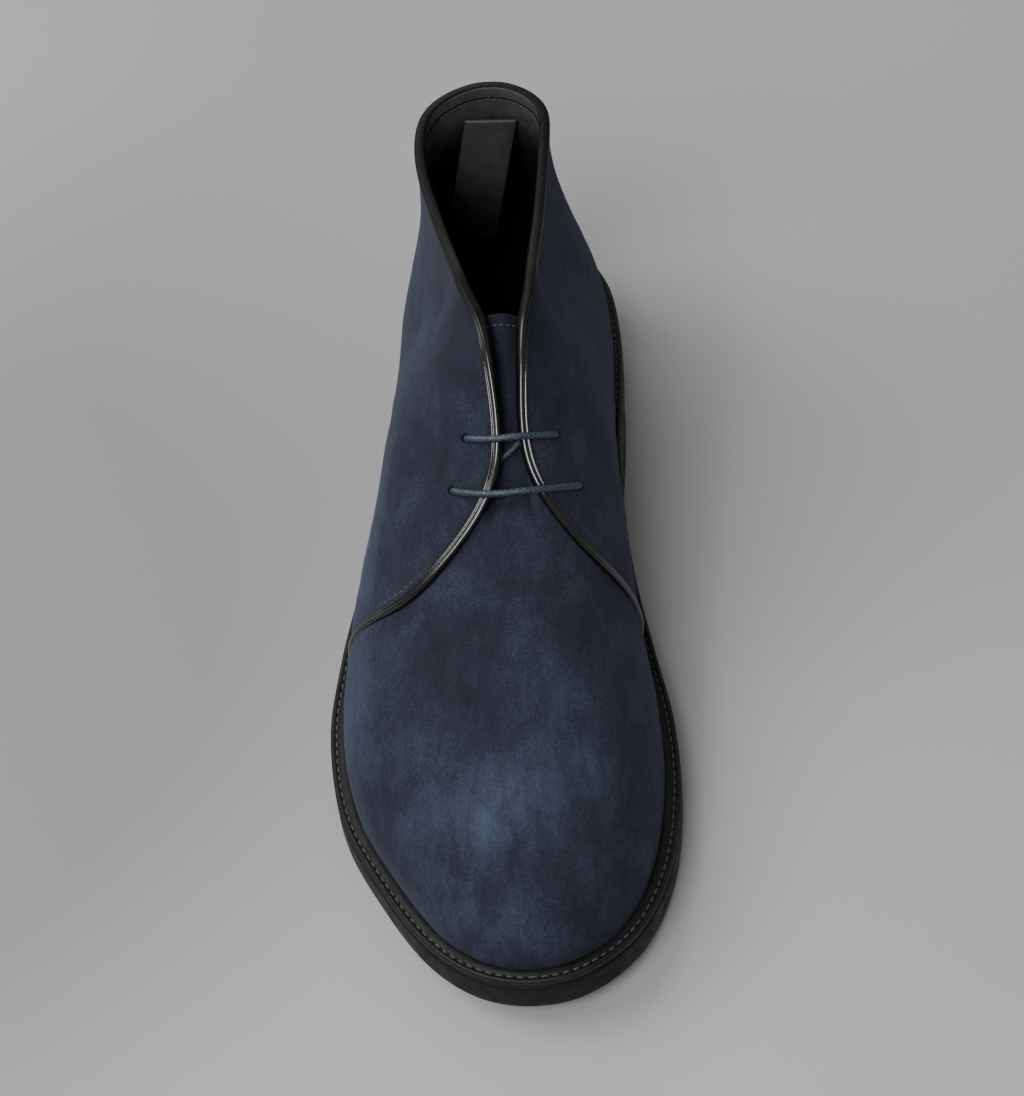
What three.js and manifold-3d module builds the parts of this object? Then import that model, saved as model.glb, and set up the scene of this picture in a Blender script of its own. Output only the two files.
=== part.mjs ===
// A right chukka boot: an ankle-high suede upper, closed by two rows of lace over a tongue, on a
// welted rubber sole with a stacked heel. Millimetres, +Z up. The toe points along -Y, the outer
// (little-toe) side is -X, and the origin is the middle of the bottom of the boot's box.
//
// Every soft piece is cut from one surface, the last, which lastPoint() gives. A station number s
// runs along it from the toe tip (0) to the back of the heel (14), on the inner and the outer side,
// and t climbs the wall from the feather line at the sole (0) to the top (1). The top is the ridge
// along the instep up to station SHAFT, and the ring of the collar from there on.

import * as THREE from "three";
import { mergeVertices } from "three/addons/utils/BufferGeometryUtils.js";
import Module from "manifold-3d";

const wasm = await Module();
wasm.setup();

// ---- driving sizes -------------------------------------------------------------------------

const GAP = 0.3; // between pieces that meet
const OUTSOLE = 12; // outsole thickness
const WELT = 3; // welt thickness
const INSOLE = 3;
const WELT_SHOWS = { toe: 5.6, heel: 3.4 }; // welt ledge outside the upper
const VAMP_WALL = 2; // suede and lining together
const QUARTER_WALL = 2.5;
const QUARTER_PROUD = 3.7; // outside of the quarter's front edge, where it laps over the vamp

const TOE_SPRING = 9; // lift of the sole under the toe tip
const TREAD = { front: -84, back: -40 }; // the forefoot is flat on the floor between these
const HEEL = { height: 21, breast: 50, lift: 6, inset: 0.6 };

const SHAFT = 8; // station where the instep ridge opens into the collar ring
const LAST_STATION = 14;

const EYELET_HOLE = 4.8; // diameter
const LACE = 2.3; // diameter
const TONGUE = { from: 6.35, to: 8.2, edge: 0.62, soften: 0.35, wall: 2 }; // stations, lowest height
const PULL_TAB = { from: 0.42, to: 0.84, stations: 0.6, clear: 0.8, wall: 1.6 }; // heights, half width

// Outline of the sole seen from above, and the section of the last at each station. medial and
// lateral are points of the welt's outer edge, top is a point of the ridge. The wall is one cubic
// curve: its lower handle stands out by `swell` and up by `rise` of the height, and its upper handle
// goes back `across` of the way to the sole and down by `drop` of the height. swell and across are
// given as [medial, lateral]. slope is the ridge's.
const STATIONS = [
  { medial: [8, -154], lateral: [8, -154], top: [7, -108, 53],
    swell: [3, 3], rise: 0.6, across: [0.5, 0.5], drop: 0, slope: 0.28 },
  { medial: [25, -149.5], lateral: [-9, -150], top: [7, -107, 53.3],
    swell: [3, 3], rise: 0.6, across: [0.5, 0.5], drop: 0, slope: 0.28 },
  { medial: [41, -134], lateral: [-24.5, -137], top: [7, -103, 54.2],
    swell: [3, 3], rise: 0.6, across: [0.5, 0.5], drop: 0, slope: 0.27 },
  { medial: [51, -109], lateral: [-39.5, -114], top: [7, -92, 56.5],
    swell: [3, 4], rise: 0.6, across: [0.52, 0.52], drop: 0, slope: 0.25 },
  { medial: [54.5, -80], lateral: [-53, -86], top: [7.5, -72, 60],
    swell: [3, 5], rise: 0.58, across: [0.54, 0.54], drop: 0, slope: 0.27 },
  { medial: [53, -52], lateral: [-58, -54], top: [8, -49, 67],
    swell: [4, 5.5], rise: 0.56, across: [0.52, 0.52], drop: 0, slope: 0.42 },
  { medial: [47.5, -25], lateral: [-55.5, -25], top: [7.5, -25, 79],
    swell: [6.5, 6], rise: 0.52, across: [0.46, 0.46], drop: 0, slope: 0.62 },
  { medial: [42, 0], lateral: [-49.5, 0], top: [6.5, -1, 96.5],
    swell: [10.5, 7], rise: 0.5, across: [0.4, 0.4], drop: 0.02, slope: 0.85 },
  { medial: [39, 25], lateral: [-43, 25], top: [5, 24, 121],
    swell: [11, 11], rise: 0.42, across: [0.34, 0.22], drop: 0.08, slope: 1 },
  { medial: [38.5, 50], lateral: [-38.5, 50],
    swell: [8, 12.5], rise: 0.34, across: [0.2, 0.05], drop: 0.22, slope: 0.3 },
  { medial: [39.5, 75], lateral: [-37.5, 75],
    swell: [3.5, 11], rise: 0.29, across: [0.03, -0.02], drop: 0.44, slope: 0 },
  { medial: [39, 100], lateral: [-37.5, 100],
    swell: [1.5, 8], rise: 0.26, across: [-0.04, 0.02], drop: 0.56, slope: 0 },
  { medial: [34.5, 124], lateral: [-34, 124],
    swell: [4, 5.5], rise: 0.26, across: [-0.06, 0.02], drop: 0.52, slope: 0 },
  { medial: [21.5, 143.5], lateral: [-21.5, 143.5],
    swell: [6, 6], rise: 0.3, across: [-0.12, -0.12], drop: 0.4, slope: 0 },
  { medial: [0, 152], lateral: [0, 152],
    swell: [7, 7], rise: 0.32, across: [-0.16, -0.16], drop: 0.38, slope: 0 },
];

// The collar's ring from station SHAFT on: x on each side, y and z.
const COLLAR = [
  { lateral: 5, medial: 5, y: 24, z: 121 },
  { lateral: -4.8, medial: 11.4, y: 39.2, z: 123.1 },
  { lateral: -9.9, medial: 13, y: 54.9, z: 120.8 },
  { lateral: -15.7, medial: 14.9, y: 74.5, z: 121.4 },
  { lateral: -21, medial: 16.4, y: 96.9, z: 124.6 },
  { lateral: -18, medial: 16, y: 115, z: 128.6 },
  { lateral: 0, medial: 0, y: 123.2, z: 130.5 },
];

// The quarter's front edge on each side, from the welt up to the collar: [station, height].
const FRONT_EDGE = [
  { medial: [6, 0], lateral: [5.85, 0] },
  { medial: [6, 0.2], lateral: [5.78, 0.2] },
  { medial: [5.96, 0.38], lateral: [5.64, 0.38] },
  { medial: [5.92, 0.53], lateral: [5.5, 0.52] },
  { medial: [6, 0.65], lateral: [5.52, 0.63] },
  { medial: [6.19, 0.77], lateral: [5.82, 0.75] },
  { medial: [6.48, 0.88], lateral: [6.25, 0.88] },
  { medial: [6.8, 0.935], lateral: [6.65, 0.94] },
  { medial: [7.15, 0.945], lateral: [7.1, 0.95] },
  { medial: [7.6, 0.915], lateral: [7.6, 0.922] },
  { medial: [8, 0.89], lateral: [8, 0.898] },
  { medial: [8.45, 0.9], lateral: [8.45, 0.903] },
  { medial: [8.9, 0.95], lateral: [8.9, 0.947] },
  { medial: [9.4, 1], lateral: [9.4, 1] },
];

// Eyelet holes, a row for each crossing of the lace: [station, height], the thickness that it passes
// over, and how many stations further forward it is in the middle, square to the instep's slope.
const EYELETS = [
  { medial: [6.73, 0.63], lateral: [6.6, 0.75], over: QUARTER_PROUD, bow: 0.25 },
  { medial: [7.15, 0.73], lateral: [7.09, 0.8], over: QUARTER_WALL, bow: 0.13 },
];

// ---- curves --------------------------------------------------------------------------------

const lerp = THREE.MathUtils.lerp;
const clamp = THREE.MathUtils.clamp;
const smooth = (from, to, x) => {
  const f = clamp((x - from) / (to - from), 0, 1);
  return f * f * (3 - 2 * f);
};

// The Catmull-Rom value at position s of a list, with neighbour(i) standing for rows off its ends.
function along(values, s, neighbour) {
  const last = values.length - 1;
  const i = Math.min(Math.floor(s), last - 1);
  const f = s - i;
  const at = (k) => (k < 0 || k > last ? neighbour(k) : values[k]);
  const [a, b, c, d] = [at(i - 1), at(i), at(i + 1), at(i + 2)];
  return 0.5 * (2 * b + (c - a) * f + (2 * a - 5 * b + 4 * c - d) * f * f + (3 * b - 3 * c + d - a) * f ** 3);
}

const mirrored = (values) => (k) => values[k < 0 ? -k : 2 * (values.length - 1) - k];
const extended = (values) => (k) =>
  k < 0 ? 2 * values[0] - values[-k] : 2 * values.at(-1) - values[2 * (values.length - 1) - k];

const columns = {};
for (const name of ["rise", "drop", "slope"]) columns[name] = STATIONS.map((row) => row[name]);
for (const name of ["swell", "across"]) {
  columns[`${name} medial`] = STATIONS.map((row) => row[name][0]);
  columns[`${name} lateral`] = STATIONS.map((row) => row[name][1]);
}
const column = (name, s) => along(columns[name], s, mirrored(columns[name]));

// A point of the welt's outer edge. The far side's rows carry each curve on past the toe and heel.
function outline(side, s) {
  const other = side === "medial" ? "lateral" : "medial";
  return [0, 1].map((axis) => {
    const here = STATIONS.map((row) => row[side][axis]);
    const there = STATIONS.map((row) => row[other][axis]);
    return along(here, s, mirrored(there));
  });
}

// The outline's outward normal, in plan.
function outward(side, s) {
  const step = 0.02;
  const [ax, ay] = outline(side, Math.max(0, s - step));
  const [bx, by] = outline(side, Math.min(LAST_STATION, s + step));
  const turn = side === "medial" ? 1 : -1;
  const length = Math.hypot(bx - ax, by - ay);
  if (s <= 0) return [0, -1];
  if (s >= LAST_STATION) return [0, 1];
  return [(turn * (by - ay)) / length, (-turn * (bx - ax)) / length];
}

// The outline drawn in by a distance.
function inset(side, s, distance) {
  const [x, y] = outline(side, s);
  const [nx, ny] = outward(side, s);
  return [x - nx * distance, y - ny * distance];
}

const weltShows = (s) => lerp(WELT_SHOWS.toe, WELT_SHOWS.heel, smooth(5, 9, s));
const featherInset = (s) => weltShows(s) + VAMP_WALL;

// Height of the outsole's underside: toe spring, flat tread, then the arch up to the heel.
function soleBottom(y) {
  const toe = Math.max(0, (TREAD.front - y) / (TREAD.front - STATIONS[0].medial[1]));
  return TOE_SPRING * toe ** 1.8 + HEEL.height * smooth(TREAD.back, HEEL.breast, y);
}
const soleTop = (y) => soleBottom(y) + OUTSOLE;

// ---- the last ------------------------------------------------------------------------------

const ridge = [0, 1, 2].map((axis) => STATIONS.slice(0, SHAFT + 1).map((row) => row.top[axis]));

// A point of the collar's ring, which goes on from the ridge in front and round to the far side behind.
function ringPoint(side, s) {
  const rows = (name) => COLLAR.map((row) => [row[name], row.y, row.z]);
  const [here, there] = [rows(side), rows(side === "medial" ? "lateral" : "medial")];
  const neighbour = (k) => (k < 0 ? STATIONS[SHAFT + k].top : there[2 * (COLLAR.length - 1) - k]);
  return [0, 1, 2].map((axis) => {
    const values = here.map((point) => point[axis]);
    return along(values, s - SHAFT, (k) => neighbour(k)[axis]);
  });
}

// The top of the wall: the instep ridge, then the ring of the collar.
function topPoint(side, s) {
  return s <= SHAFT ? ridge.map((values) => along(values, s, extended(values))) : ringPoint(side, s);
}

function lastPoint(side, s, t) {
  const [fx, fy] = inset(side, s, featherInset(s));
  const foot = new THREE.Vector3(fx, fy, soleTop(fy) + GAP);
  const top = new THREE.Vector3(...topPoint(side, s));
  const height = top.z - foot.z;
  const [nx, ny] = outward(side, s);
  const swell = column(`swell ${side}`, s);
  const low = foot.clone().add(new THREE.Vector3(nx * swell, ny * swell, height * column("rise", s)));
  const across = column(`across ${side}`, s);
  const back = new THREE.Vector3(foot.x - top.x, foot.y - top.y, (foot.y - top.y) * column("slope", s));
  const high = top.clone().addScaledVector(back, across);
  high.z -= height * column("drop", s);
  return new THREE.CubicBezierCurve3(foot, low, high, top).getPoint(t);
}

// The last's outward normal.
function lastNormal(side, s, t) {
  const step = 1e-3;
  const ends = (low, high) => lastPoint(side, ...high).sub(lastPoint(side, ...low));
  const round = ends([Math.max(s - step, 0), t], [Math.min(s + step, LAST_STATION), t]);
  const up = ends([s, Math.max(t - step, 0)], [s, Math.min(t + step, 1)]);
  return round.cross(up).normalize().multiplyScalar(side === "medial" ? 1 : -1);
}
const offLast = (side, s, t, offset) =>
  lastPoint(side, s, t).addScaledVector(lastNormal(side, s, t), offset);

// ---- solids --------------------------------------------------------------------------------

function solidOf(geometry) {
  const bare = geometry.clone();
  bare.deleteAttribute("normal");
  bare.deleteAttribute("uv");
  const merged = mergeVertices(bare, 1e-4);
  const triVerts = new Uint32Array(merged.index.array);
  return new wasm.Manifold(new wasm.Mesh({ numProp: 3, vertProperties: merged.attributes.position.array, triVerts }));
}

function geometryOf(solid) {
  const made = solid.getMesh();
  return new THREE.BufferGeometry()
    .setAttribute("position", new THREE.BufferAttribute(made.vertProperties, made.numProp))
    .setIndex(new THREE.BufferAttribute(made.triVerts, 1));
}

function meshGeometry(points, triangles) {
  return new THREE.BufferGeometry()
    .setAttribute("position", new THREE.Float32BufferAttribute(points.flatMap((p) => [p.x, p.y, p.z]), 3))
    .setIndex(triangles.flat());
}

// A thin wall: grids of points are welded into one open surface, which is then given thickness
// from its inner to its outer offset. Each grid is { at(i, j), rows, cols, inner(i, j), outer(i, j) },
// and one that is lasted has its points at j = 0 on the sole.
function wall(grids) {
  const points = [];
  const offsets = [];
  const onSole = [];
  const known = new Map();
  const faces = [];
  const vertex = (grid, i, j) => {
    const p = grid.at(i, j);
    const key = [p.x, p.y, p.z].map((value) => Math.round(value * 1e3)).join();
    if (!known.has(key)) {
      known.set(key, points.length);
      points.push(p);
      offsets.push([grid.inner(i, j), grid.outer(i, j)]);
      onSole.push(Boolean(grid.lasted) && j === 0);
    }
    return known.get(key);
  };
  for (const grid of grids)
    for (let i = 0; i < grid.rows; i++)
      for (let j = 0; j < grid.cols; j++) {
        const [a, b] = [vertex(grid, i, j), vertex(grid, i + 1, j)];
        const [c, d] = [vertex(grid, i + 1, j + 1), vertex(grid, i, j + 1)];
        for (const face of [[a, b, c], [a, c, d]]) {
          if (new Set(face).size === 3) faces.push(grid.flip ? face.reverse() : face);
        }
      }

  const normals = points.map(() => new THREE.Vector3());
  for (const face of faces) {
    const [a, b, c] = face.map((k) => points[k]);
    const normal = b.clone().sub(a).cross(c.clone().sub(a));
    face.forEach((k) => normals[k].add(normal));
  }
  const skins = [1, 0].flatMap((skin) =>
    points.map((p, k) => {
      if (onSole[k]) normals[k].z = 0;
      const moved = p.clone().addScaledVector(normals[k].clone().normalize(), offsets[k][skin]);
      if (onSole[k]) moved.z = soleTop(moved.y) + GAP;
      return moved;
    }),
  );

  const inside = points.length;
  const edges = new Set(faces.flatMap(([a, b, c]) => [`${a},${b}`, `${b},${c}`, `${c},${a}`]));
  const triangles = faces.flatMap(([a, b, c]) => [[a, b, c], [c + inside, b + inside, a + inside]]);
  for (const edge of edges) {
    const [a, b] = edge.split(",").map(Number);
    if (!edges.has(`${b},${a}`)) triangles.push([b, a, a + inside], [b, a + inside, b + inside]);
  }
  return meshGeometry(skins, triangles);
}

// ---- upper ---------------------------------------------------------------------------------

const BOTH = [
  { side: "lateral", flip: true },
  { side: "medial", flip: false },
];
const VAMP = { rows: 30, cols: 12, end: 6.72, lap: 0.35 }; // lap: stations that it runs on under a quarter

// Station where the vamp stops, hidden under the quarter that covers height t.
function vampEnd(side, t) {
  for (let k = 1; k < FRONT_EDGE.length; k++) {
    const [[s0, t0], [s1, t1]] = [FRONT_EDGE[k - 1][side], FRONT_EDGE[k][side]];
    if (t <= t1) return Math.min(VAMP.end, lerp(s0, s1, (t - t0) / (t1 - t0)) + VAMP.lap);
    if (t1 < t0) break;
  }
  return VAMP.end;
}

function vamp() {
  return wall(
    BOTH.map(({ side, flip }) => ({
      at: (i, j) => lastPoint(side, (i / VAMP.rows) * vampEnd(side, j / VAMP.cols), j / VAMP.cols),
      rows: VAMP.rows,
      cols: VAMP.cols,
      lasted: true,
      flip,
      inner: () => 0,
      outer: () => VAMP_WALL,
    })),
  );
}

function frontEdge(side, v) {
  return [0, 1].map((axis) => {
    const values = FRONT_EDGE.map((row) => row[side][axis]);
    return along(values, v * (FRONT_EDGE.length - 1), extended(values));
  });
}

// A quarter's point: u runs back from its front edge to the middle of the heel, v climbs. Its rows
// drop away from the edge at first, where the edge would else run along them.
function quarterPoint(side, u, v) {
  const [s, t] = frontEdge(side, v);
  return lastPoint(side, lerp(s, LAST_STATION, u), lerp(t, v, 1 - (1 - u) ** 3));
}

const QUARTER_GRID = { rows: 22, cols: 22 };
const quarterU = (i) => (i / QUARTER_GRID.rows) ** 1.3;
const quarterV = (j) => j / QUARTER_GRID.cols;
const WELT_CLEAR = { from: 0.04, to: 0.1 }; // shares of the wall's height, just above the welt
const lapsVamp = (side, v) => 1 - smooth(6.3, 6.8, frontEdge(side, v)[0]);

// Outside of the quarters: proud where they lap over the vamp, and flush with it down at the welt.
function quarterOuter(side, u, v) {
  const front = lerp(QUARTER_WALL, QUARTER_PROUD, lapsVamp(side, v));
  const proud = lerp(front, QUARTER_WALL, smooth(0.02, 0.3, u));
  return lerp(VAMP_WALL, proud, smooth(WELT_CLEAR.from, WELT_CLEAR.to, v));
}

// Inside of the quarters: it bites into the vamp along the front edge and is the lining elsewhere.
const quarterInner = (side, u, v) => lapsVamp(side, v) * lerp(VAMP_WALL - 0.6, 0, smooth(0, 0.12, u));

function quarters() {
  return wall(
    BOTH.map(({ side, flip }) => ({
      at: (i, j) => quarterPoint(side, quarterU(i), quarterV(j)),
      rows: QUARTER_GRID.rows,
      cols: QUARTER_GRID.cols,
      lasted: true,
      flip,
      inner: (i, j) => quarterInner(side, quarterU(i), quarterV(j)),
      outer: (i, j) => quarterOuter(side, quarterU(i), quarterV(j)),
    })),
  );
}

function eyeletHole(side, [s, t]) {
  const radius = EYELET_HOLE / 2;
  const drill = new THREE.CylinderGeometry(radius, radius, 6 * QUARTER_WALL, 16);
  const across = new THREE.Quaternion().setFromUnitVectors(new THREE.Vector3(0, 1, 0), lastNormal(side, s, t));
  drill.applyQuaternion(across).translate(...lastPoint(side, s, t));
  return solidOf(drill);
}

function upper() {
  let solid = solidOf(vamp()).add(solidOf(quarters()));
  for (const row of EYELETS)
    for (const { side } of BOTH) solid = solid.subtract(eyeletHole(side, row[side]));
  return geometryOf(solid);
}

// ---- tongue, lace and pull tab -------------------------------------------------------------

const LACE_IN = -(3 * GAP + LACE / 2); // middle of the lace between the quarters and the tongue
const TONGUE_TOP = LACE_IN - LACE / 2 - 3 * GAP;

// The tongue arches over the instep from edge to edge, at w from -1 (lateral) to 1 (medial), with
// the ridge softened. It follows the last up to the shaft and then goes straight on.
function tonguePoint(s, w) {
  const onLast = (v) =>
    lastPoint(v < 0 ? "lateral" : "medial", Math.min(s, SHAFT), lerp(1, TONGUE.edge, Math.abs(v)));
  const point = onLast(w).multiplyScalar(0.5);
  for (const v of [w - TONGUE.soften, w + TONGUE.soften]) point.addScaledVector(onLast(v), 0.25);
  const [from, to] = [STATIONS[SHAFT - 1].top, STATIONS[SHAFT].top];
  const beyond = Math.max(s - SHAFT, 0);
  return point.add(new THREE.Vector3(...to.map((value, axis) => (value - from[axis]) * beyond)));
}

function tongue() {
  const [rows, cols] = [12, 14];
  return wall([
    {
      at: (i, j) => tonguePoint(lerp(TONGUE.from, TONGUE.to, i / rows), lerp(-1, 1, j / cols)),
      rows,
      cols,
      flip: true,
      inner: () => TONGUE_TOP - TONGUE.wall,
      outer: () => TONGUE_TOP,
    },
  ]);
}

function tube(points, diameter) {
  const path = new THREE.CatmullRomCurve3(points, false, "centripetal");
  const section = new THREE.Shape().absarc(0, 0, diameter / 2, 0, 2 * Math.PI);
  const steps = Math.round(path.getLength() / (1.6 * diameter));
  return new THREE.ExtrudeGeometry(section, { steps, extrudePath: path, bevelEnabled: false, curveSegments: 4 });
}

// Points over the instep from a lateral hole to a medial one, at an offset from the last.
function overInstep(lateral, medial, offset, bow = 0, [from, to] = [0, 1]) {
  const points = [];
  const count = 10;
  for (let k = 0; k <= count; k++) {
    const f = lerp(from, to, k / count);
    const half = Math.abs(2 * f - 1);
    const s = lerp(lateral[0], medial[0], f) - bow * (1 - half * half);
    if (f < 0.5) points.push(offLast("lateral", s, lerp(1, lateral[1], half), offset));
    else points.push(offLast("medial", s, lerp(1, medial[1], half), offset));
  }
  return points;
}

// One crossing over the throat, with a leg down through the hole at each end.
function laceBar({ lateral, medial, over, bow }) {
  const leg = (side, hole) => [LACE_IN, 0.2 * QUARTER_WALL, QUARTER_WALL].map((z) => offLast(side, ...hole, z));
  const crossing = overInstep(lateral, medial, over + 5 * GAP + LACE / 2, bow, [0.06, 0.94]);
  return tube([...leg("lateral", lateral), ...crossing, ...leg("medial", medial).reverse()], LACE);
}

function lace() {
  const [lower, higher] = EYELETS;
  const hidden = tube(overInstep(lower.lateral, higher.medial, LACE_IN), LACE);
  return geometryOf(
    [laceBar(lower), laceBar(higher), hidden].map(solidOf).reduce((joined, piece) => joined.add(piece)),
  );
}

function pullTab() {
  const [rows, cols] = [5, 8];
  const { from, to, stations, clear, wall: thick } = PULL_TAB;
  return wall(
    BOTH.map(({ side, flip }) => ({
      at: (i, j) => lastPoint(side, LAST_STATION - stations * (1 - i / rows), lerp(from, to, j / cols)),
      rows,
      cols,
      flip,
      inner: () => -clear - thick,
      outer: () => -clear,
    })),
  );
}

// ---- sole pieces ---------------------------------------------------------------------------

// A plate between two height functions of y, with the outline drawn in by margin(s), from a station
// back to the heel.
function plate({ from = 0, margin, bottom, top, steps = 60 }) {
  const points = [];
  const triangles = [];
  for (let k = 0; k <= steps; k++) {
    const s = lerp(from, LAST_STATION, k / steps);
    for (const side of ["lateral", "medial"]) {
      const [x, y] = inset(side, s, margin(side, s));
      points.push(new THREE.Vector3(x, y, bottom(y)), new THREE.Vector3(x, y, top(y)));
    }
  }
  const [LB, LT, MB, MT] = [0, 1, 2, 3];
  const quad = (a, b, c, d) => triangles.push([a, c, b], [a, d, c]);
  for (let k = 0; k < steps; k++) {
    const [a, b] = [4 * k, 4 * (k + 1)];
    quad(a + LB, a + MB, b + MB, b + LB);
    quad(a + LT, b + LT, b + MT, a + MT);
    quad(a + LB, b + LB, b + LT, a + LT);
    quad(a + MB, a + MT, b + MT, b + MB);
  }
  if (from > 0) quad(LB, LT, MT, MB);
  return meshGeometry(points, triangles);
}

function outsole() {
  return plate({ margin: () => 0, bottom: soleBottom, top: soleTop });
}

function insole() {
  return plate({
    margin: (side, s) => featherInset(s) + 2 * GAP,
    bottom: (y) => soleTop(y) + GAP,
    top: (y) => soleTop(y) + GAP + INSOLE,
  });
}

// How far the upper swells outwards over the height of the welt.
function lean(side, s) {
  const height = topPoint(side, s)[2] - soleTop(outline(side, s)[1]);
  return (column(`swell ${side}`, s) * (WELT + GAP)) / (column("rise", s) * height);
}

function welt() {
  const bottom = (y) => soleTop(y) + GAP;
  const top = (y) => bottom(y) + WELT;
  const whole = solidOf(plate({ margin: () => 0.5, bottom, top }));
  const hole = solidOf(
    plate({
      margin: (side, s) => weltShows(s) - GAP - lean(side, s),
      bottom: (y) => bottom(y) - WELT,
      top: (y) => top(y) + WELT,
    }),
  );
  return geometryOf(whole.subtract(hole));
}

const BREAST_STATION = 9; // the heel starts here, where the outsole is flat again

function heel() {
  return plate({
    from: BREAST_STATION,
    margin: () => HEEL.inset,
    bottom: () => HEEL.lift + GAP,
    top: () => HEEL.height - GAP,
    steps: 30,
  });
}

function heelLift() {
  return plate({
    from: BREAST_STATION,
    margin: () => HEEL.inset,
    bottom: () => 0,
    top: () => HEEL.lift,
    steps: 30,
  });
}

// ---- assembly ------------------------------------------------------------------------------

const group = new THREE.Group();

function add(name, geometry, look) {
  const mesh = new THREE.Mesh(geometry, new THREE.MeshStandardMaterial(look));
  mesh.name = name;
  group.add(mesh);
}

const SUEDE = { color: 0x292d3a, roughness: 0.95, metalness: 0 };
const RUBBER = { color: 0x141415, roughness: 0.6, metalness: 0 };
const LEATHER = { color: 0x0d0d0f, roughness: 0.5, metalness: 0 };
const CORD = { color: 0x1b2733, roughness: 0.5, metalness: 0 };

add("outsole", outsole(), RUBBER);
add("heel", heel(), RUBBER);
add("heel_lift", heelLift(), RUBBER);
add("welt", welt(), LEATHER);
add("insole", insole(), LEATHER);
add("upper", upper(), SUEDE);
add("tongue", tongue(), SUEDE);
add("lace", lace(), CORD);
add("pull_tab", pullTab(), LEATHER);

// The origin is the middle of the bottom of the box.
const box = new THREE.Box3().setFromObject(group);
const middle = box.getCenter(new THREE.Vector3());
group.position.set(-middle.x, -middle.y, -box.min.z);

export default group;
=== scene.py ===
"""A right chukka boot: suede upper on one last surface, bound edges, lace, welt and rubber sole.

Lengths are millimetres until a mesh is made. lateral is the outer side (-X), medial the inner.
"""
import math

import bpy
import numpy as np
from mathutils import Matrix, Vector, noise
from mathutils.bvhtree import BVHTree


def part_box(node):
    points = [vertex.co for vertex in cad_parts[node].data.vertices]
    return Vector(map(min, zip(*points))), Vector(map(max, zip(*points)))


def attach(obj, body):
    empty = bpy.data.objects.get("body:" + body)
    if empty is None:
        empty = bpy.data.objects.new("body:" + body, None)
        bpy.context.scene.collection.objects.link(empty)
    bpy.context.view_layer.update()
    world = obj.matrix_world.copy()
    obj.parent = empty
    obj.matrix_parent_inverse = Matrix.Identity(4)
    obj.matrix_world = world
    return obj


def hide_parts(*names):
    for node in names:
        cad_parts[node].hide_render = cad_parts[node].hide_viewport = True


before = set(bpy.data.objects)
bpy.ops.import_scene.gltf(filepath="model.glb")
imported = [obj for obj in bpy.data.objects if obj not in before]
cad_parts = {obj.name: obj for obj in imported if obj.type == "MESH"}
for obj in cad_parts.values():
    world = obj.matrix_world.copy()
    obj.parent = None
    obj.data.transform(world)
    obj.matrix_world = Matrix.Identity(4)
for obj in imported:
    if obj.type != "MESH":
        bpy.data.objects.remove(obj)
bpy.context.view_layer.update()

# ---- sizes and tables: the CAD's, and below them the ones that only this script has -----------

GAP = 0.3
OUTSOLE, WELT = 12, 3
WELT_TOE, WELT_HEEL = 5.6, 3.4
VAMP_WALL, QUARTER_WALL, QUARTER_PROUD = 2, 2.5, 3.7
TOE_SPRING, TREAD_FRONT, TREAD_BACK = 9, -84, -40
HEEL_HEIGHT, HEEL_BREAST, HEEL_LIFT, HEEL_INSET = 21, 50, 6, 0.6
BREAST_STATION, SHAFT, LAST_STATION = 9, 8, 14
LACE = 2.3
LACE_IN = -(3 * GAP + LACE / 2)  # middle of the lace between the quarters and the tongue
TONGUE_TOP = LACE_IN - LACE / 2 - 3 * GAP
TONGUE_EDGE, TONGUE_SOFTEN = 0.62, 0.35
VAMP_END, VAMP_LAP = 6.72, 0.35  # stations: at the sides, and its lap under a quarter

# Welt's outer edge from toe to heel: medial x, y, lateral x, y.
OUTLINE = np.array([
    (8, -154, 8, -154), (25, -149.5, -9, -150), (41, -134, -24.5, -137),
    (51, -109, -39.5, -114), (54.5, -80, -53, -86), (53, -52, -58, -54),
    (47.5, -25, -55.5, -25), (42, 0, -49.5, 0), (39, 25, -43, 25), (38.5, 50, -38.5, 50),
    (39.5, 75, -37.5, 75), (39, 100, -37.5, 100), (34.5, 124, -34, 124),
    (21.5, 143.5, -21.5, 143.5), (0, 152, 0, 152),
])
# Instep ridge: x, y, z.
RIDGE = np.array([
    (7, -108, 53), (7, -107, 53.3), (7, -103, 54.2), (7, -92, 56.5), (7.5, -72, 60),
    (8, -49, 67), (7.5, -25, 79), (6.5, -1, 96.5), (5, 24, 121),
])
SECTION_COLUMNS = ("medial", "lateral", "rise", "across_medial", "across_lateral", "drop", "slope")
SECTION = np.array([
    (3, 3, 0.6, 0.5, 0.5, 0, 0.28), (3, 3, 0.6, 0.5, 0.5, 0, 0.28), (3, 3, 0.6, 0.5, 0.5, 0, 0.27),
    (3, 4, 0.6, 0.52, 0.52, 0, 0.25), (3, 5, 0.58, 0.54, 0.54, 0, 0.27),
    (4, 5.5, 0.56, 0.52, 0.52, 0, 0.42), (6.5, 6, 0.52, 0.46, 0.46, 0, 0.62),
    (10.5, 7, 0.5, 0.4, 0.4, 0.02, 0.85), (11, 11, 0.42, 0.34, 0.22, 0.08, 1),
    (8, 12.5, 0.34, 0.2, 0.05, 0.22, 0.3), (3.5, 11, 0.29, 0.03, -0.02, 0.44, 0),
    (1.5, 8, 0.26, -0.04, 0.02, 0.56, 0), (4, 5.5, 0.26, -0.06, 0.02, 0.52, 0),
    (6, 6, 0.3, -0.12, -0.12, 0.4, 0), (7, 7, 0.32, -0.16, -0.16, 0.38, 0),
])
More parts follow.
